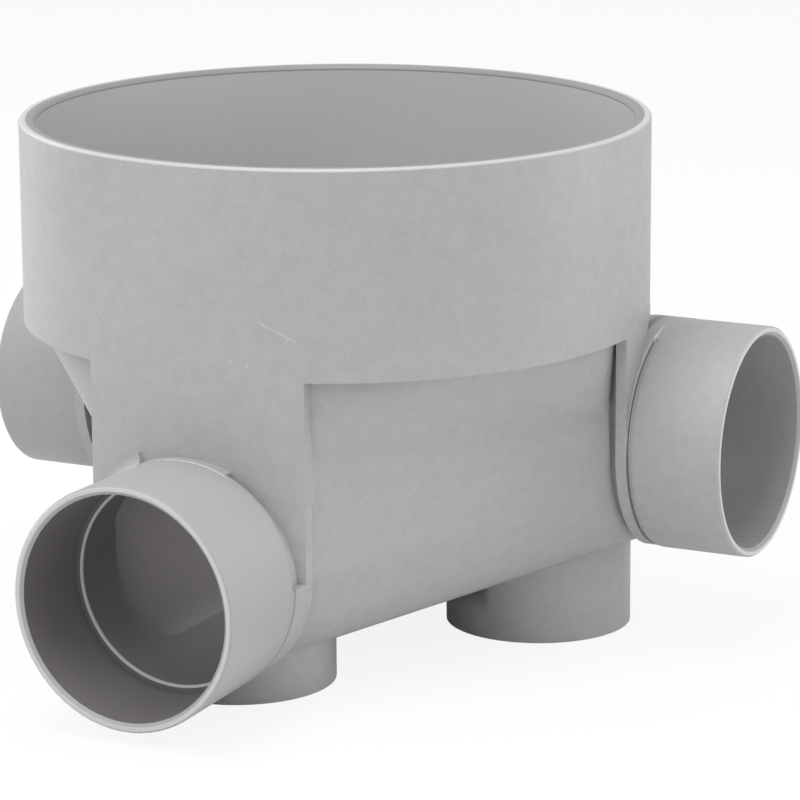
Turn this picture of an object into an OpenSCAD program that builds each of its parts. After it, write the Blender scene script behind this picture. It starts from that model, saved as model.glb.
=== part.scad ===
// Drain inspection chamber, moulded in one piece: a large riser socket on top,
// a low outlet socket at the front, an inlet socket on the right and an inlet spigot
// on the left, both higher and further back, and three tubular legs at even spacing.
// Z = 0 is the riser pipe's stop, on the riser's axis; the outlet leaves along -Y and
// the inlets along +X and -X.

/* [Riser socket] */
// Outside diameter of the riser pipe
riser_pipe_d = 318; // [310:1:330]
// Wall of the riser socket
riser_wall = 8.8; // [6:0.1:12]
// Depth that the riser pipe goes in
riser_depth = 100; // [70:1:140]
// Width of the ledge that stops the riser pipe
riser_stop_w = 9; // [6:0.5:12]
// Thickness of that ledge
riser_stop_t = 8; // [6:0.5:12]

/* [Branches] */
// Outside diameter of the branch pipes
branch_pipe_d = 114; // [108:1:116]
// Wall of the branch pipes, which the branches' bores match
branch_pipe_wall = 3.3; // [2.5:0.1:4.5]
// Wall of a branch socket
socket_wall = 4.6; // [3.5:0.1:6]
// Depth that a branch pipe goes in
socket_depth = 50; // [35:1:51]
// Radius that rounds the back of a socket
shoulder_r = 5; // [2:0.5:6]
// Clearance round a pipe in its socket, on the radius
pipe_gap = 0.3; // [0.1:0.05:0.6]

/* [Layout] */
// Distance from the riser's axis to the outlet's mouth
outlet_reach = 233; // [225:1:260]
// Depth of the outlet's axis below the riser pipe's stop
outlet_drop = 112; // [105:1:118]
// Distance from the riser's axis to an inlet's mouth
inlet_reach = 220.5; // [219:0.5:250]
// Depth of the inlets' axis below the riser pipe's stop
inlet_drop = 72; // [70:1:85]
// Distance that the inlets sit behind the riser's axis
inlet_setback = 64; // [58:1:70]

/* [Lower body] */
// Wall of the lower body
body_wall = 4.5; // [3.5:0.1:6]
// Half the width of the troughs under the ledge
trough_r = 60.5; // [59.5:0.1:61]
// Distance from the riser's axis to the end of the outlet trough's side panels
outlet_trough_x = 149; // [140:1:153]
// Distance from the riser's axis to the end of an inlet trough
inlet_trough_x = 158; // [152:1:159]
// Width of the step under the riser socket
skirt_step = 7; // [4:0.5:12]
// Height of the sloped haunch under that step
haunch_h = 42; // [25:1:55]
// Thickness of the collar plate round an inlet's root
collar_t = 6; // [4:0.5:8]
// Height of that plate above the ledge's underside
collar_rise = 8; // [4:0.5:14]

/* [Webs on the branches] */
// Width of the web over a branch's root
web_w = 50; // [30:1:60]
// Height of the web over the outlet's root
outlet_web_h = 12; // [8:1:20]
// Radius of the fillet at a web's foot
web_fillet = 6; // [4:0.5:7]

/* [Legs] */
// Outside diameter of a leg
leg_d = 101; // [90:1:106]
// Wall of a leg
leg_wall = 4; // [3:0.1:6]
// Distance from the riser's axis to a leg's axis
leg_circle_r = 109; // [104:1:111]
// Depth of the legs' ends below the riser pipe's stop
leg_drop = 182.4; // [178:0.2:215]

/* [Finish] */
// Chamfer on the rims
rim_chamfer = 1.2; // [0.5:0.1:2]
// Lead-in chamfer inside the sockets
lead_in = 1.8; // [0.5:0.1:2.5]

/* [Hidden] */
body_colour = [0.66, 0.67, 0.66];
round_fn = 180;
hull_fn = 40;
arc_steps = 6;
overlap = 1;
leg_angles = [-90, 30, 150];

riser_bore_r = riser_pipe_d / 2 + pipe_gap;
riser_r = riser_bore_r + riser_wall;
throat_r = riser_bore_r - riser_stop_w;
haunch_r = riser_r - skirt_step;

branch_bore_r = branch_pipe_d / 2 + pipe_gap;
socket_r = branch_bore_r + socket_wall;
branch_in_r = branch_pipe_d / 2 - branch_pipe_wall;
neck_r = branch_pipe_d / 2;
root_r = socket_r - 0.3;

roof_in_z = -riser_stop_t - 0.5;
roof_z = roof_in_z + body_wall;

// Frames whose +X leaves along a branch's axis, from the riser's axis outward
module outlet_frame() {
    translate([0, 0, -outlet_drop]) rotate([0, 0, -90]) children();
}

module inlet_frame(side) {
    mirror([side, 0, 0]) translate([0, inlet_setback, -inlet_drop]) children();
}

// A round bar along +X
module bar(r, x0, x1) {
    translate([x0, 0, 0]) rotate([0, 90, 0]) cylinder(r = r, h = x1 - x0, $fn = round_fn);
}

// A trough section along +X, round at the bottom, with upright sides as high as top
module trough(r, top, x0, x1, fn = round_fn) {
    translate([x0, 0, 0]) rotate([0, 90, 0]) cylinder(r = r, h = x1 - x0, $fn = fn);
    translate([x0, -r, 0]) cube([x1 - x0, 2 * r, top]);
}

// Outside of the riser socket, down to the ledge's underside
module riser_outside() {
    translate([0, 0, -riser_stop_t])
        rotate_extrude($fn = round_fn)
            polygon([
                [0, 0],
                [riser_r, 0],
                [riser_r, riser_stop_t + riser_depth - rim_chamfer],
                [riser_r - rim_chamfer, riser_stop_t + riser_depth],
                [0, riser_stop_t + riser_depth]
            ]);
}

// Inside of the riser socket, with the throat below the pipe's stop
module riser_inside() {
    cylinder(r = riser_bore_r, h = riser_depth + overlap, $fn = round_fn);
    translate([0, 0, riser_depth - lead_in])
        cylinder(
            r1 = riser_bore_r,
            r2 = riser_bore_r + lead_in + overlap,
            h = lead_in + overlap,
            $fn = round_fn
        );
    translate([0, 0, roof_in_z - overlap])
        cylinder(r = throat_r, h = overlap - roof_in_z + overlap, $fn = round_fn);
}

// The outlet trough and the inlet troughs drawn together; inset makes the hollow
module trough_form(inset, top_z) {
    hull() {
        outlet_frame()
            trough(
                trough_r - inset,
                top_z + outlet_drop,
                -inlet_setback,
                outlet_trough_x - inset,
                hull_fn
            );
        for (side = [0, 1])
            inlet_frame(side)
                trough(trough_r - inset, top_z + inlet_drop, 0, inlet_trough_x - inset, hull_fn);
    }
}

// The haunch from the round step down to the troughs' upright sides
module haunch_form(inset, top_z) {
    slab_r = trough_r - inset - 0.4;
    slab_z = -riser_stop_t - haunch_h;
    hull() {
        translate([0, 0, top_z - overlap])
            cylinder(r = haunch_r - inset, h = overlap, $fn = 2 * hull_fn);
        translate([-slab_r, -outlet_trough_x + inset + 0.4, slab_z])
            cube([2 * slab_r, outlet_trough_x, overlap]);
        translate([-inlet_trough_x + inset + 0.4, inlet_setback - slab_r, slab_z])
            cube([2 * (inlet_trough_x - inset - 0.4), 2 * slab_r, overlap]);
    }
}

// The outlet trough's front, which follows the riser's own cylinder down
module outlet_front(inset, top_z) {
    intersection() {
        outlet_frame()
            trough(root_r - inset, top_z + outlet_drop, outlet_trough_x / 2, riser_r + overlap);
        translate([0, 0, -outlet_drop - socket_r])
            cylinder(r = riser_r - inset, h = outlet_drop + socket_r, $fn = round_fn);
    }
}

// Neck behind the outlet socket, filled out to the trough below its axis
module outlet_neck() {
    bar(neck_r + 0.4, outlet_trough_x, riser_r + shoulder_r + overlap);
    intersection() {
        bar(root_r, outlet_trough_x, riser_r + shoulder_r + overlap);
        translate([outlet_trough_x, -socket_r, -socket_r - overlap])
            cube([riser_r, 2 * socket_r, socket_r + overlap]);
    }
}

// Neck behind an inlet's collar, and the collar plate
module inlet_root() {
    trough(neck_r, inlet_drop + roof_z, inlet_trough_x / 2, riser_r - collar_t + overlap);
    trough(
        socket_r - 0.6,
        inlet_drop - riser_stop_t + collar_rise,
        riser_r - collar_t,
        riser_r
    );
}

// Points of a quarter turn round a centre, from angle a0 on
function quarter(cx, cy, r, a0) = [
    for (i = [0 : arc_steps])
        let (a = a0 + i * 90 / arc_steps) [cx + r * cos(a), cy + r * sin(a)]
];

// Outside of a socket from the riser's tangent plane to its mouth
module socket_outside(reach) {
    len = reach - riser_r + 0.5;
    translate([reach, 0, 0])
        rotate([0, -90, 0])
            rotate_extrude($fn = round_fn)
                polygon(concat(
                    [[0, 0], [socket_r - rim_chamfer, 0], [socket_r, rim_chamfer]],
                    quarter(socket_r - shoulder_r, len - shoulder_r, shoulder_r, 0),
                    [[0, len]]
                ));
}

module socket_inside(reach, x0) {
    bar(branch_in_r, x0, reach);
    bar(branch_bore_r, reach - socket_depth, reach + overlap);
    translate([reach - lead_in, 0, 0])
        rotate([0, 90, 0])
            cylinder(
                r1 = branch_bore_r,
                r2 = branch_bore_r + lead_in + overlap,
                h = lead_in + overlap,
                $fn = round_fn
            );
}

// Spigot that takes a pipe's socket, chamfered at its end
module spigot_outside(reach) {
    translate([reach, 0, 0])
        rotate([0, -90, 0])
            rotate_extrude($fn = round_fn)
                polygon([
                    [0, 0],
                    [neck_r - 2 * rim_chamfer, 0],
                    [neck_r, 4 * rim_chamfer],
                    [neck_r, reach - inlet_trough_x / 2],
                    [0, reach - inlet_trough_x / 2]
                ]);
}

// Web over a branch's root, filleted into the top of the socket
module web(h, r_below) {
    translate([riser_r, web_w / 2, r_below])
        rotate([90, 0, 0])
            linear_extrude(web_w)
                polygon(concat(
                    [[-riser_wall, h], [overlap, h]],
                    quarter(overlap + web_fillet, web_fillet - 0.5, web_fillet, 180),
                    [[overlap + web_fillet, -r_below / 4], [-riser_wall, -r_below / 4]]
                ));
}

// A leg's tube, which ends inside the lower body
module leg_tube(top_z) {
    difference() {
        translate([0, 0, -leg_drop]) cylinder(d = leg_d, h = leg_drop + top_z, $fn = round_fn);
        translate([0, 0, -leg_drop - overlap])
            cylinder(d = leg_d - 2 * leg_wall, h = leg_drop + top_z + 2 * overlap, $fn = round_fn);
    }
}

module chamber_body() {
    color(body_colour)
    difference() {
        union() {
            riser_outside();
            trough_form(0, roof_z);
            haunch_form(0, roof_z - overlap);
            outlet_front(0, roof_z);
            outlet_frame() {
                outlet_neck();
                socket_outside(outlet_reach);
                web(outlet_web_h, socket_r);
            }
            for (side = [0, 1]) inlet_frame(side) inlet_root();
            inlet_frame(0) {
                socket_outside(inlet_reach);
                web(inlet_drop - riser_stop_t + collar_rise - socket_r, socket_r);
            }
            inlet_frame(1) spigot_outside(inlet_reach);
            for (a = leg_angles)
                rotate([0, 0, a]) translate([leg_circle_r, 0, 0]) leg_tube(-inlet_drop);
        }
        riser_inside();
        trough_form(body_wall, roof_in_z);
        haunch_form(body_wall, roof_in_z);
        outlet_front(body_wall, roof_in_z);
        outlet_frame() socket_inside(outlet_reach, outlet_trough_x / 2);
        inlet_frame(0) socket_inside(inlet_reach, inlet_trough_x / 2);
        inlet_frame(1) bar(branch_in_r, inlet_trough_x / 2, inlet_reach + overlap);
    }
}

chamber_body();
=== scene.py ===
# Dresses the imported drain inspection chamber: moulded grey PVC-U on a pale floor.
# Everything is in metres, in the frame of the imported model: Z = 0 is the riser pipe's
# stop, the outlet leaves along -Y and the inlets along +X and -X.
import math

import bpy
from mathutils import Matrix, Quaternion, Vector, kdtree


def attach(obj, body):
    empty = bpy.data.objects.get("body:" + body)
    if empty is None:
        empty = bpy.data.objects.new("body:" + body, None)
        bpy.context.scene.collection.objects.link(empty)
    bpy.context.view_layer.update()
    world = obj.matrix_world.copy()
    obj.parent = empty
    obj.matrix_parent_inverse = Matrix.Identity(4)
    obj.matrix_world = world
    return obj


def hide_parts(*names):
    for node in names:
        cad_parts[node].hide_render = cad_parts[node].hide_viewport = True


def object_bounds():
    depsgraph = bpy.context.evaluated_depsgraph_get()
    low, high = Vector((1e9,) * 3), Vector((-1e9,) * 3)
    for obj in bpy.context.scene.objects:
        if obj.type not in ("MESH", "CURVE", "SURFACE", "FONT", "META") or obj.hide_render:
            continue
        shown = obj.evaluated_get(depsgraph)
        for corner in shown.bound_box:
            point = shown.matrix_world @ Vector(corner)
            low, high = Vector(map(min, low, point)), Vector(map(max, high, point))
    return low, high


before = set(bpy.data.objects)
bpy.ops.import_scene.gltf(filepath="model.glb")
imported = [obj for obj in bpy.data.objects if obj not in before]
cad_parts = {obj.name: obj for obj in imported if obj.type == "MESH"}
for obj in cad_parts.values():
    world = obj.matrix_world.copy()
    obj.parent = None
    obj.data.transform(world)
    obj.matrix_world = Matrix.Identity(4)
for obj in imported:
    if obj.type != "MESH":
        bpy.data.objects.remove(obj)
cad_low, cad_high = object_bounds()
scene = bpy.context.scene

# The riser socket, round the Z axis
RIM_Z = cad_high.z
RISER_R = 0.1681
RISER_BORE_R = 0.1593

# The outlet, low at the front, and the stop for the pipe in its socket
OUTLET_Z = -0.112
OUTLET_STOP_Y = -0.183
OUTLET_STOP_R = 0.0537

# The inlets, higher and further back: a socket on +X and a spigot on -X
INLET_Y = 0.064
INLET_Z = -0.072
INLET_MOUTH_X = cad_high.x
COLLAR_X = 0.1621

# Both sockets
SOCKET_R = 0.0619
SOCKET_BORE_R = 0.0573
LEAD_IN = 0.0018

# The troughs of the lower body: the radius of their underside is less than half their width
TROUGH_R = 0.0574
TROUGH_HALF_W = 0.0606
OUTLET_TROUGH_Y = -0.149
INLET_TROUGH_X = 0.158
CHAMBER_HEART = (0.0, 0.0, -0.100)

# The legs
LEG_R = 0.0505
LEG_CIRCLE_R = 0.109
LEG_ANGLES = (-90.0, 30.0, 150.0)

# The curved web between the riser and the top of the outlet's socket
WEB_FILLET = 0.006
WEB_HALF_W = 0.0255
WEB_DEPTH = 0.006

# Low and high corners of what is cut at the roots, on the right-hand side
ROOT_CUT = ((0.100, 0.0028, INLET_Z), (0.1765, 0.140, 0.010))
OUTLET_CUT = ((-0.030, -0.180, -0.100), (0.030, -0.150, -0.020))

# The walls that close the troughs' back corners once these are cut away
LINER = ((0.085, INLET_Y, -0.0598), (0.1578, 0.1345, -0.0045))
LINER_WALL = 0.0045
LINER_SUNK = 0.0003

# How far a cutter keeps off a round wall that is to stay as it is
SKIN = 0.00012

# How many sides a round cutter has
BAR_SIDES = 360

# Points nearer than this are one; faces that turn less than these degrees are shaded as one
MERGE_GAP = 0.000005
LOFT_TURN = 42
CUT_TURN = 14

# How the ends and the front leg are settled
MOUTH_STRETCH = 0.0025
MOUTH_GROWTH = 0.026
OUTLET_MOUTH_Y = cad_low.y - MOUTH_STRETCH
OUTLET_STRETCH_Y = -0.190
SPIGOT_BORE_R = 0.0540
SPIGOT_END_R = 0.0558
SPIGOT_CHAMFER_X = cad_low.x + 0.0025
SPIGOT_SHOULDER_X = cad_low.x + 0.0012
SPIGOT_STRETCH_X = cad_low.x + 0.0055
SPIGOT_STRETCH = 0.0018
LEG_SHIFT = 0.003

# Moulded PVC-U and the painted light, shade and highlights on it, linear colours
PVC = (0.430, 0.440, 0.430, 1.0)
# Painted light on the riser's inside; also the colour of the pale scratch and specks
PVC_LIGHT_AND_SCRATCHES = (0.560, 0.570, 0.560, 1.0)
PVC_DULL = (0.350, 0.357, 0.350, 1.0)
# Painted shade for bores, grooves and the riser's lead-in; also the colour of the dark rubs
PVC_SHADE_AND_RUBS = (0.200, 0.196, 0.193, 1.0)
# Painted shade for the deep flow channel walls
PVC_CHANNEL_SHADE = (0.165, 0.153, 0.149, 1.0)
# Painted highlight for rim faces, edges and the stop's inner edge
PVC_HIGHLIGHT = (0.780, 0.790, 0.785, 1.0)

# Marks of handling: a scratch or rub is two ends and a width, a speck its lower end
PALE_SCRATCH = ((0.0400, -0.1633, 0.0228), (0.0578, -0.1579, 0.0132), 0.0008)
PALE_SPECKS = (
    (0.0254, -0.1662, 0.0016),
    (0.0341, -0.1646, -0.0004),
    (0.1678, -0.0098, 0.0183),
)
SPECK_W = 0.0011
SPECK_H = 0.0008
DARK_RUBS = (
    ((-0.0084, -0.1876, -0.0507), (0.0005, -0.1901, -0.0501), 0.0006),
    ((-0.0062, -0.2134, -0.0504), (0.0050, -0.2170, -0.0503), 0.0006),
    ((0.0138, -0.1904, -0.0517), (0.0170, -0.1941, -0.0525), 0.0005),
)

# The studio: a lamp is its place, its target, its width and height and its watts
FLOOR_COLOUR = (0.86, 0.86, 0.86, 1.0)
BACKDROP_WHITE = (1.0, 1.0, 1.0, 1.0)
FLOOR_SIZE = 8.0
FLOOR_GLOW_SEEN = 0.88
WORLD_LEVEL = 0.57
LAMPS = {
    "key_lamp": ((-0.2, -1.6, 1.4), (0.0, 0.0, -0.02), 1.6, 1.2, 12.5),
    "right_lamp": ((1.8, 1.0, 0.5), (0.0, 0.0, -0.05), 0.9, 1.6, 16.0),
    "top_lamp": ((0.0, -0.5, 2.0), (0.0, 0.0, 0.0), 1.2, 1.2, 21.0),
    "left_lamp": ((-2.0, 0.5, 0.5), (0.0, 0.0, 0.0), 0.8, 1.6, 14.0),
}

# The camera looks down from above the rim, to the right of the outlet; roll in degrees
CAMERA_PLACE = (0.9594, -1.8565, 0.4556)
CAMERA_FORWARD = (-0.4320, 0.8698, -0.2386)
CAMERA_ROLL = -0.37
SENSOR_MM = 36.0
LENS_MM = 178.7805


class Shade:
    """One shader socket, with arithmetic that adds Math nodes."""

    def __init__(self, tree, socket=None):
        self.tree = tree
        self.socket = socket

    def node(self, kind, settings=None, inputs=None, out=0):
        """Adds a node with its settings, then its socket values or links."""
        made = self.tree.nodes.new(kind)
        for name, value in (settings or {}).items():
            setattr(made, name, value)
        for name, value in (inputs or {}).items():
            if isinstance(value, Shade):
                self.tree.links.new(value.socket, made.inputs[name])
            else:
                made.inputs[name].default_value = value
        socket = made.outputs[out] if made.outputs else None
        return Shade(self.tree, socket)

    def maths(self, operation, *values):
        """One Math node on these values, or on this one alone."""
        values = values or (self,)
        return self.node("ShaderNodeMath", {"operation": operation}, dict(enumerate(values)))

    def __add__(self, other):
        return self.maths("ADD", self, other)

    __radd__ = __add__

    def __sub__(self, other):
        return self.maths("SUBTRACT", self, other)

    def __rsub__(self, other):
        return self.maths("SUBTRACT", other, self)

    def __mul__(self, other):
        return self.maths("MULTIPLY", self, other)

    __rmul__ = __mul__

    def size(self):
        """This value without its sign."""
        return self.maths("ABSOLUTE")

    def across_from(self, other):
        """The straight distance whose two square parts are these values."""
        return (self * self + other * other).maths("SQRT")

    def either(self, other):
        """The larger of two masks."""
        return self.maths("MAXIMUM", self, other)

    def vector_maths(self, operation, *values, out=0):
        """One Vector Math node on these values."""
        settings = {"operation": operation}
        return self.node("ShaderNodeVectorMath", settings, dict(enumerate(values)), out)

    def axes(self):
        """The three parts of a vector."""
        parts = self.node("ShaderNodeSeparateXYZ", None, {"Vector": self})
        outputs = parts.socket.node.outputs
        return [Shade(self.tree, outputs[axis]) for axis in "XYZ"]

    def above(self, low, high):
        """0 below low and 1 above high, smoothly between."""
        settings = {"interpolation_type": "SMOOTHSTEP"}
        values = {"Value": self, "From Min": low, "From Max": high}
        return self.node("ShaderNodeMapRange", settings, values)

    def below(self, low, high):
        """1 below low and 0 above high, smoothly between."""
        return 1.0 - self.above(low, high)

    def within(self, low, high, soft):
        """1 between low and high, falling to 0 over soft on both sides."""
        return self.above(low - soft, low) * self.below(high, high + soft)

    def mixed(self, first, second):
        """A colour from first to second as this value goes from 0 to 1."""
        settings = {"data_type": "RGBA"}
        return self.node("ShaderNodeMix", settings, {0: self, 6: first, 7: second}, out=2)

    def noise(self, scale, detail):
        """Noise over this place."""
        values = {"Vector": self, "Scale": scale, "Detail": detail}
        return self.node("ShaderNodeTexNoise", None, values)


class Spot:
    """Where a point of the moulding lies, along the axes and out from the round parts."""

    def __init__(self, place):
        self.place = place
        self.x, self.y, self.z = place.axes()
        self.across = self.x.size()
        self.riser_r = self.x.across_from(self.y)
        self.outlet_r = self.x.across_from(self.z - OUTLET_Z)
        self.inlet_r = (self.y - INLET_Y).across_from(self.z - INLET_Z)


def new_material(name):
    """An empty material and the Shade that its nodes start from."""
    material = bpy.data.materials.new(name)
    material.use_nodes = True
    material.node_tree.nodes.clear()
    return material, Shade(material.node_tree)


def inside_socket(radius):
    """A mask of what lies within a socket's bore, with its lead-in."""
    bore_edge = SOCKET_BORE_R + LEAD_IN
    return radius.below(bore_edge, bore_edge + 0.0006)


def channel_shade(start, spot):
    """A mask of painted shade on the flow channel walls, on the outlet's bore and on the face of its
    stop.
    """
    in_outlet = inside_socket(spot.outlet_r)
    normal = start.node("ShaderNodeTexCoord", out=1)
    inward = spot.place.vector_maths("SUBTRACT", CHAMBER_HEART, spot.place)
    facing = inward.vector_maths("DOT_PRODUCT", inward, normal, out=1).above(0.012, 0.022)
    low = spot.z.above(-0.170, -0.155).either(in_outlet) * spot.z.below(-0.050, -0.012)
    middle = spot.across.below(0.150, 0.156)
    behind_mouth = spot.y.above(-0.150, -0.140).either(in_outlet)
    stop = spot.y.within(OUTLET_STOP_Y - 0.0003, OUTLET_STOP_Y + 0.0003, 0.0002)
    return (facing * low * middle * behind_mouth).either(stop * in_outlet)


def inlet_bore_shade(spot):
    """A mask of painted shade in the inlets' bores."""
    return inside_socket(spot.inlet_r) * spot.across.above(0.150, 0.160)


def root_groove_shade(spot):
    """A mask of painted shade in the grooves behind the collars and behind the outlet's socket."""
    low_r = SOCKET_BORE_R - 0.0015
    around = spot.inlet_r.within(low_r, SOCKET_R + 0.0010, 0.0010)
    around = around.either((INLET_Y - spot.y).within(low_r, SOCKET_R, 0.0005))
    collar_gap = spot.across.within(INLET_TROUGH_X + 0.0003, COLLAR_X - 0.0002, 0.0003)
    collar_gap = collar_gap * around * spot.z.below(-0.009, -0.008)
    socket_back = spot.y.within(-RISER_R - 0.0009, -RISER_R + 0.0005, 0.0004)
    socket_back = socket_back * spot.outlet_r.within(SOCKET_R - 0.0030, SOCKET_R + 0.0003, 0.0003)
    return collar_gap.either(socket_back * spot.x.above(0.020, 0.032))


def edge_highlights(spot):
    """A mask of painted highlights on the edges at the outlet web's foot and behind the inlet's
    socket.
    """
    foot_y = -RISER_R - WEB_FILLET
    web_foot = spot.y.within(foot_y - 0.0004, foot_y + 0.0006, 0.0006)
    web_foot = web_foot * spot.z.above(OUTLET_Z + 0.050, OUTLET_Z + 0.054)
    web_foot = web_foot * spot.across.below(WEB_HALF_W - 0.001, WEB_HALF_W + 0.001)
    inlet_back = spot.x.within(RISER_R, RISER_R + 0.0012, 0.0005)
    inlet_back = inlet_back * spot.z.above(INLET_Z - 0.004, INLET_Z + 0.010)
    inlet_back = inlet_back * spot.inlet_r.within(SOCKET_R - 0.0016, SOCKET_R + 0.0002, 0.0003)
    return web_foot.either(inlet_back * spot.y.below(0.040, 0.060))


def stop_highlight(spot):
    """A mask of a painted highlight on the inner edge of the stop in the outlet's socket."""
    depth = spot.y.within(OUTLET_STOP_Y - 0.0003, OUTLET_STOP_Y + 0.0012, 0.0002)
    return depth * spot.outlet_r.below(OUTLET_STOP_R + 0.0010, OUTLET_STOP_R + 0.0014)


def rim_highlights(spot):
    """A mask of painted highlights on the end faces of the riser socket, the outlet and the right
    inlet.
    """
    riser_rim = spot.z.above(RIM_Z - 0.0012, RIM_Z - 0.0004)
    outlet_rim = spot.y.below(OUTLET_MOUTH_Y + 0.0001, OUTLET_MOUTH_Y + 0.0005)
    inlet_rim = spot.x.above(INLET_MOUTH_X - 0.0004, INLET_MOUTH_X)
    return riser_rim.either(outlet_rim).either(inlet_rim)


def riser_lead_in(spot):
    """A mask of the shaded lead-in at the top of the riser socket."""
    edge_r = RISER_BORE_R + 0.0047
    return spot.z.above(RIM_Z - 0.0030, RIM_Z - 0.0022) * spot.riser_r.below(edge_r, edge_r + 0.0008)


def riser_painted_light(spot):
    """A mask of painted light on the inside of the riser socket."""
    edge_r = RISER_BORE_R + 0.0019
    return spot.z.above(-0.0020, -0.0010) * spot.riser_r.below(edge_r, edge_r + 0.0008)


def outlet_socket(spot):
    """A mask of the outlet's socket, which is duller than the rest."""
    edge_r = SOCKET_R + 0.0021
    return spot.y.below(-0.1700, -0.1680) * spot.outlet_r.below(edge_r, edge_r + 0.0020)


def scratch(place, start, end, width):
    """1 on a straight scratch between two points, falling to 0 at its sides and ends."""
    first = Vector(start)
    along = Vector(end) - first
    offset = place.vector_maths("SUBTRACT", place, first)
    share = offset.vector_maths("DOT_PRODUCT", offset, along / along.length_squared, out=1)
    share = share.maths("MAXIMUM", share.maths("MINIMUM", share, 1.0), 0.0)
    nearest = share.node("ShaderNodeVectorMath", {"operation": "SCALE"}, {0: along, 3: share})
    gap = nearest.vector_maths("DISTANCE", offset, nearest, out=1)
    return gap.below(width * 0.35, width)


def pale_marks(place):
    """A mask of the pale scratch and specks on the riser's wall."""
    marks = scratch(place, *PALE_SCRATCH)
    for speck in PALE_SPECKS:
        top = (speck[0], speck[1], speck[2] + SPECK_H)
        marks = marks.either(scratch(place, speck, top, SPECK_W))
    return marks


def dark_marks(place):
    """A mask of the dark rubs on top of the outlet's socket."""
    marks = scratch(place, *DARK_RUBS[0])
    for rub in DARK_RUBS[1:]:
        marks = marks.either(scratch(place, *rub))
    return marks


def pvc_material():
    """Satin grey PVC-U with a faint mottle, a fine moulded grain and light scuffs, and with painted
    shade, light and highlights.
    """
    material, start = new_material("grey_pvc_moulded")
    place = start.node("ShaderNodeTexCoord", out=3)
    spot = Spot(place)
    cloud = place.noise(9.0, 3.0)
    mottle = place.noise(140.0, 4.0)
    grain = place.noise(900.0, 2.0)

    dull = cloud.above(0.35, 0.7) * 0.25 + mottle.above(0.35, 0.7) * 0.25
    dull = dull + grain.above(0.3, 0.7) * 0.40
    colour = dull.either(outlet_socket(spot) * 0.6).mixed(PVC, PVC_DULL)
    # Painted shade darkens the flow channel walls, the inlet bores, the root grooves and the riser's
    # lead-in; painted light brightens the riser's inside; painted highlights brighten rim faces,
    # edges and the stop. The scratch, specks and rubs are real marks.
    layers = (
        (riser_painted_light(spot) * 0.75, PVC_LIGHT_AND_SCRATCHES),
        (channel_shade(start, spot) * 0.92, PVC_CHANNEL_SHADE),
        (inlet_bore_shade(spot) * 0.18, PVC_SHADE_AND_RUBS),
        (root_groove_shade(spot) * 0.75, PVC_SHADE_AND_RUBS),
        (edge_highlights(spot) * 0.60, PVC_HIGHLIGHT),
        (rim_highlights(spot) * 0.38, PVC_HIGHLIGHT),
        (stop_highlight(spot) * 0.95, PVC_HIGHLIGHT),
        (riser_lead_in(spot) * 0.80, PVC_SHADE_AND_RUBS),
        (pale_marks(place) * 0.45, PVC_LIGHT_AND_SCRATCHES),
        (dark_marks(place) * mottle.above(0.42, 0.55) * 0.55, PVC_SHADE_AND_RUBS),
    )
    for mask, tint in layers:
        colour = mask.mixed(colour, tint)

    relief = grain * 0.6 + mottle * 0.4
    values = {"Height": relief, "Strength": 0.10, "Distance": 0.0004}
    bump = relief.node("ShaderNodeBump", None, values)
    rough = cloud * 0.10 + mottle * 0.08 + 0.36
    values = {"Base Color": colour, "Roughness": rough, "Normal": bump, "IOR": 1.5}
    shader = start.node("ShaderNodeBsdfPrincipled", None, values)
    start.node("ShaderNodeOutputMaterial", None, {"Surface": shader})
    return material


def finish_new(name):
    """The new primitive, with its place in its mesh."""
    made = bpy.context.object
    made.name = name
    bpy.ops.object.transform_apply(location=True, rotation=True, scale=True)
    made.select_set(False)
    return made


def block(name, low, high):
    """A box between two corners."""
    middle = (Vector(low) + Vector(high)) / 2
    bpy.ops.mesh.primitive_cube_add(size=1.0, location=middle)
    bpy.context.object.scale = Vector(high) - Vector(low)
    return finish_new(name)


def sided_block(name, low, high, side):
    """A box between two corners, on the right or mirrored to the left."""
    left = min(side * low[0], side * high[0])
    right = max(side * low[0], side * high[0])
    return block(name, (left, low[1], low[2]), (right, high[1], high[2]))


def bar(name, radius, start, end):
    """A round bar between two points."""
    along = Vector(end) - Vector(start)
    bpy.ops.mesh.primitive_cylinder_add(
        vertices=BAR_SIDES,
        radius=radius,
        depth=along.length,
        location=(Vector(start) + Vector(end)) / 2,
        rotation=along.to_track_quat("Z", "Y").to_euler(),
    )
    return finish_new(name)


def riser_bar(radius):
    """A bar along the riser's axis, from under the legs to above the branches' roots."""
    return bar("riser_bar", radius, (0.0, 0.0, -0.20), (0.0, 0.0, 0.05))


def inlet_bar(radius, side):
    """A bar along an inlet's axis, from the middle outwards."""
    return bar("inlet_bar", radius, (0.0, INLET_Y, INLET_Z), (side * 0.20, INLET_Y, INLET_Z))


def take_up(work):
    """Selects one object and nothing else, and makes it the active one."""
    bpy.ops.object.select_all(action="DESELECT")
    work.select_set(True)
    bpy.context.view_layer.objects.active = work


def carve(work, tool, operation="DIFFERENCE"):
    """Applies one tool to the work and removes the tool."""
    take_up(work)
    cut = work.modifiers.new("carve", "BOOLEAN")
    cut.operation = operation
    cut.solver = "EXACT"
    cut.object = tool
    bpy.ops.object.modifier_apply(modifier=cut.name)
    work.select_set(False)
    mesh = tool.data
    bpy.data.objects.remove(tool)
    bpy.data.meshes.remove(mesh)


def edit_all(work):
    """Opens an object in edit mode with all of it selected."""
    take_up(work)
    bpy.ops.object.mode_set(mode="EDIT")
    bpy.ops.mesh.select_all(action="SELECT")


def leave_edit(work):
    """Closes edit mode and deselects the object."""
    bpy.ops.object.mode_set(mode="OBJECT")
    work.select_set(False)


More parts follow.
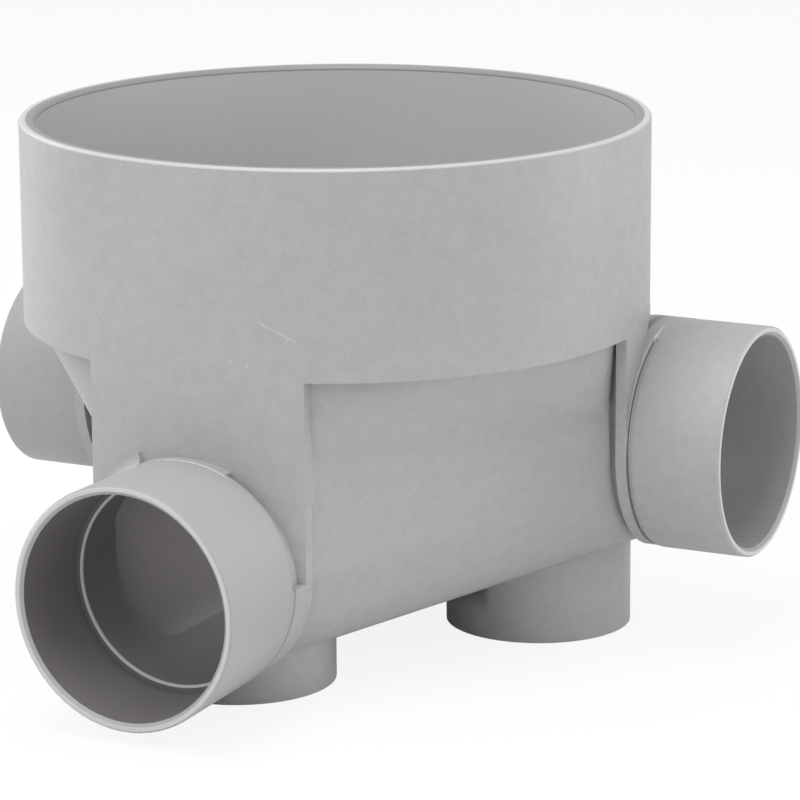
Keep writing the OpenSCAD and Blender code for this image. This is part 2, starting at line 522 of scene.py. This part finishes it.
def root_cutter(side, gap):
    """What stands proud of the riser and of a branch's round at an inlet's root."""
    cutter = sided_block("root_cutter", *ROOT_CUT, side)
    carve(cutter, riser_bar(RISER_R + gap))
    carve(cutter, inlet_bar(SOCKET_R + gap, side))
    return cutter


def root_liner(side):
    """The round wall that closes the trough where its back corner is cut away."""
    liner = sided_block("root_liner", *LINER, side)
    carve(liner, root_cutter(side, -LINER_SUNK))
    carve(liner, riser_bar(RISER_R - LINER_WALL))
    carve(liner, inlet_bar(SOCKET_R - LINER_WALL, side))
    return liner


def outlet_cutter():
    """What stands proud of the riser and of the branch's round over the outlet's root."""
    cutter = block("outlet_cutter", *OUTLET_CUT)
    carve(cutter, riser_bar(RISER_R + SKIN))
    start = (0.0, -0.1, OUTLET_Z)
    carve(cutter, bar("outlet_bar", SOCKET_R + SKIN, start, (0.0, -0.2, OUTLET_Z)))
    return cutter


def from_points(name, points, faces):
    """A new object from worked-out points, opened in edit mode with all of it selected."""
    mesh = bpy.data.meshes.new(name)
    mesh.from_pydata(points, [], faces)
    made = bpy.data.objects.new(name, mesh)
    scene.collection.objects.link(made)
    edit_all(made)
    return made


def trough_outline():
    """Points on the half rounds and upright sides of both troughs' ends."""
    outlet_ends = (OUTLET_TROUGH_Y, INLET_Y)
    inlet_ends = (-INLET_TROUGH_X - 0.0002, INLET_TROUGH_X + 0.0002)
    arc_steps = 90
    points = []
    for step in range(arc_steps + 1):
        turn = math.radians(180.0 / arc_steps * step)
        out = TROUGH_R * math.cos(turn)
        down = TROUGH_R * math.sin(turn)
        points.extend((out, y, OUTLET_Z - down) for y in outlet_ends)
        points.extend((x, INLET_Y + out, INLET_Z - down) for x in inlet_ends)
    for side in (-TROUGH_HALF_W, TROUGH_HALF_W):
        for y in outlet_ends:
            points.extend([(side, y, OUTLET_Z), (side, y, 0.0)])
        for x in inlet_ends:
            points.extend([(x, INLET_Y + side, INLET_Z), (x, INLET_Y + side, 0.0)])
    return points


def trough_form():
    """The joined troughs as one convex form round their outline."""
    form = from_points("trough_form", trough_outline(), [])
    bpy.ops.mesh.convex_hull()
    leave_edit(form)
    return form


def underside_cutter():
    """What lies under the joined troughs' rounding, clear of the legs."""
    reach = INLET_TROUGH_X + 0.0001
    low = (-reach, OUTLET_TROUGH_Y + 0.00005, -0.181)
    cutter = block("underside_cutter", low, (reach, 0.130, INLET_Z))
    carve(cutter, trough_form())
    for angle in LEG_ANGLES:
        turn = math.radians(angle)
        x = LEG_CIRCLE_R * math.cos(turn)
        y = LEG_CIRCLE_R * math.sin(turn)
        carve(cutter, bar("leg_bar", LEG_R + SKIN, (x, y, -0.200), (x, y, -0.050)))
    return cutter


def web_outline():
    """The outlet web's section: how far behind the riser's front, and the radius."""
    foot_r = SOCKET_R - 0.0004
    sunk_r = foot_r - 0.001
    outline = [(WEB_DEPTH, sunk_r), (WEB_DEPTH, foot_r + WEB_FILLET)]
    arc_steps = 8
    for step in range(arc_steps + 1):
        turn = math.pi / 2 * step / arc_steps
        back = WEB_FILLET * (1.0 - math.cos(turn))
        up = WEB_FILLET * (1.0 - math.sin(turn))
        outline.append((-back, foot_r + up))
    outline.append((-WEB_FILLET, sunk_r))
    return outline


def outlet_web():
    """The fillet between the riser and the top of the outlet socket."""
    half_turn = math.asin(WEB_HALF_W / SOCKET_R)
    outward = Vector((-math.sin(half_turn), 0.0, math.cos(half_turn)))
    points = []
    for back, radius in web_outline():
        points.append(outward * radius + Vector((0.0, -RISER_R + back, OUTLET_Z)))
    web = from_points("outlet_web", points, [tuple(range(len(points)))])
    bpy.ops.mesh.spin(
        steps=32, angle=2 * half_turn, center=(0.0, -RISER_R, OUTLET_Z), axis=(0.0, 1.0, 0.0)
    )
    bpy.ops.mesh.select_all(action="SELECT")
    bpy.ops.mesh.remove_doubles(threshold=MERGE_GAP)
    bpy.ops.mesh.normals_make_consistent(inside=False)
    leave_edit(web)
    return web


def shape_roots(copy):
    """Trims the branches' roots and the troughs' underside, then adds web and liners."""
    for side in (1, -1):
        carve(copy, root_cutter(side, SKIN))
    carve(copy, outlet_cutter())
    carve(copy, underside_cutter())
    carve(copy, outlet_web(), "UNION")
    for side in (1, -1):
        carve(copy, root_liner(side), "UNION")


def settle_mouth(point):
    """Draws the outlet's mouth out and makes it a little taller towards its end."""
    reach = (OUTLET_STRETCH_Y - point.y) / (OUTLET_STRETCH_Y - OUTLET_MOUTH_Y)
    point.z = OUTLET_Z + (point.z - OUTLET_Z) * (1.0 + MOUTH_GROWTH * reach)
    point.y -= MOUTH_STRETCH


def settle_spigot(point):
    """Draws the spigot's end out and leaves a small chamfer on its outside."""
    radius = math.hypot(point.y - INLET_Y, point.z - INLET_Z)
    if radius > SPIGOT_BORE_R:
        if point.x > SPIGOT_CHAMFER_X:
            point.x = SPIGOT_SHOULDER_X
        else:
            scale = SPIGOT_END_R / radius
            point.y = INLET_Y + (point.y - INLET_Y) * scale
            point.z = INLET_Z + (point.z - INLET_Z) * scale
    point.x -= SPIGOT_STRETCH


def on_front_leg(point):
    """Whether a point is on the front leg, below the trough's rounding."""
    in_leg = math.hypot(point.x, point.y + LEG_CIRCLE_R) < LEG_R + 0.0004
    below_trough = math.hypot(point.x, point.z - OUTLET_Z) > TROUGH_R - 0.0001
    return in_leg and below_trough and point.z < OUTLET_Z


def settle_ends(copy):
    """Settles the outlet's mouth, the spigot's end and the front leg."""
    for vertex in copy.data.vertices:
        if vertex.co.y < OUTLET_STRETCH_Y:
            settle_mouth(vertex.co)
        elif vertex.co.x < SPIGOT_STRETCH_X:
            settle_spigot(vertex.co)
        elif on_front_leg(vertex.co):
            vertex.co.x -= LEG_SHIFT


def blended(face, neighbours, degrees):
    """The mean normal of those neighbours that turn less than an angle from a face."""
    limit = math.cos(math.radians(degrees))
    total = Vector((0.0, 0.0, 0.0))
    for normal, area in neighbours:
        if normal.dot(face.normal) > limit:
            total += normal * area
    return total.normalized()


def point_key(point):
    """A point rounded so that corners at one place share a key."""
    return tuple(round(value * 20000.0) for value in point)


def lofted_corners(mesh):
    """Corner normals with the flat facets of lofted walls blended with their neighbours."""
    normals = [Vector(corner.vector) for corner in mesh.corner_normals]
    flat = []
    around = {}
    for face in mesh.polygons:
        corners = [normals[loop] for loop in face.loop_indices]
        flat.append(all(corner.dot(face.normal) > 0.99998 for corner in corners))
        if flat[-1]:
            for vertex in face.vertices:
                key = point_key(mesh.vertices[vertex].co)
                around.setdefault(key, []).append((face.normal.copy(), face.area))
    for face in mesh.polygons:
        if flat[face.index]:
            for loop, vertex in zip(face.loop_indices, face.vertices):
                key = point_key(mesh.vertices[vertex].co)
                normals[loop] = blended(face, around[key], LOFT_TURN)
    return normals


class Corners:
    """The corner normals of a mesh before it is cut, found again by place and facing."""

    def __init__(self, mesh):
        normals = lofted_corners(mesh)
        self.facings = []
        self.tree = kdtree.KDTree(len(mesh.loops))
        for face in mesh.polygons:
            for loop, vertex in zip(face.loop_indices, face.vertices):
                self.tree.insert(mesh.vertices[vertex].co, len(self.facings))
                self.facings.append((face.normal.copy(), normals[loop]))
        self.tree.balance()

    def find(self, place, facing):
        """The normal of the old corner that fits best, or nothing on a new wall."""
        best = None
        nearest = 0.9995
        for _, index, _ in self.tree.find_range(place, 0.00001):
            face_normal, corner_normal = self.facings[index]
            match = face_normal.dot(facing)
            if match > nearest:
                nearest = match
                best = corner_normal
        return best


def corner_normals(mesh, corners):
    """Old corners keep their normals; those of new walls are blended with what meets them."""
    around = {}
    for face in mesh.polygons:
        for vertex in face.vertices:
            around.setdefault(vertex, []).append((face.normal.copy(), face.area))
    normals = []
    for face in mesh.polygons:
        for vertex in face.vertices:
            old = corners.find(mesh.vertices[vertex].co, face.normal)
            normals.append(old or blended(face, around[vertex], CUT_TURN))
    return normals


def bare_copy(source, name):
    """A copy of a CAD node with its own mesh, and without its parent and properties."""
    copy = source.copy()
    copy.data = source.data.copy()
    copy.name = name
    for key in list(copy.keys()):
        del copy[key]
    copy.parent = None
    scene.collection.objects.link(copy)
    return copy


def chamber_moulding(material):
    """A copy of the chamber with its roots shaped, whose round walls keep their true
    normals and whose lofted walls are shaded smoothly."""
    node = "chamber_body"
    copy = bare_copy(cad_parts[node], "chamber_moulding")
    corners = Corners(copy.data)
    edit_all(copy)
    bpy.ops.mesh.remove_doubles(threshold=MERGE_GAP)
    leave_edit(copy)
    shape_roots(copy)
    normals = corner_normals(copy.data, corners)
    settle_ends(copy)
    take_up(copy)
    bpy.ops.object.shade_smooth()
    copy.data.normals_split_custom_set(normals)
    copy.data.materials.clear()
    copy.data.materials.append(material)
    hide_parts(node)
    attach(copy, "root")
    copy.select_set(False)


def studio_floor():
    """A pale floor under the legs, which is nearly white to the camera."""
    bpy.ops.object.select_all(action="DESELECT")
    bpy.ops.mesh.primitive_plane_add(size=FLOOR_SIZE, location=(0.0, 0.0, cad_low.z))
    floor = finish_new("studio_floor")
    material, start = new_material("studio_floor_pale")
    matt = start.node("ShaderNodeBsdfDiffuse", None, {"Color": FLOOR_COLOUR})
    glow = start.node("ShaderNodeEmission", None, {"Color": BACKDROP_WHITE, "Strength": 1.0})
    seen = start.node("ShaderNodeLightPath", out=0)
    mix = seen.node("ShaderNodeMixShader", None, {0: seen * FLOOR_GLOW_SEEN, 1: matt, 2: glow})
    start.node("ShaderNodeOutputMaterial", None, {"Surface": mix})
    floor.data.materials.append(material)


def studio_white():
    """Surroundings that light the chamber at a plain level and are white to the camera."""
    world = bpy.data.worlds.new("studio_white")
    scene.world = world
    world.use_nodes = True
    world.node_tree.nodes.clear()
    start = Shade(world.node_tree)
    seen = start.node("ShaderNodeLightPath", out=0)
    level = seen * (1.0 - WORLD_LEVEL) + WORLD_LEVEL
    values = {"Color": BACKDROP_WHITE, "Strength": level}
    light = start.node("ShaderNodeBackground", None, values)
    start.node("ShaderNodeOutputWorld", None, {"Surface": light})


def soft_light(name, place, target, width, height, watts):
    """A large area lamp that faces its target."""
    lamp = bpy.data.lights.new(name, "AREA")
    lamp.shape = "RECTANGLE"
    lamp.size = width
    lamp.size_y = height
    lamp.energy = watts
    holder = bpy.data.objects.new(name, lamp)
    holder.location = place
    aim = Vector(target) - Vector(place)
    holder.rotation_euler = aim.to_track_quat("-Z", "Y").to_euler()
    scene.collection.objects.link(holder)


def camera():
    """The camera, held by a quaternion so that its roll stays exact."""
    data = bpy.data.cameras.new("camera")
    data.sensor_width = SENSOR_MM
    data.lens = LENS_MM
    data.clip_start = 0.05
    data.clip_end = 60.0
    holder = bpy.data.objects.new("camera", data)
    holder.location = CAMERA_PLACE
    turn = Vector(CAMERA_FORWARD).to_track_quat("-Z", "Y")
    roll = Quaternion((0.0, 0.0, 1.0), math.radians(CAMERA_ROLL))
    holder.rotation_mode = "QUATERNION"
    holder.rotation_quaternion = turn @ roll
    scene.collection.objects.link(holder)
    scene.camera = holder


scene.view_settings.view_transform = "Standard"
camera()
chamber_moulding(pvc_material())
studio_floor()
studio_white()
for lamp_name, lamp_facts in LAMPS.items():
    soft_light(lamp_name, *lamp_facts)
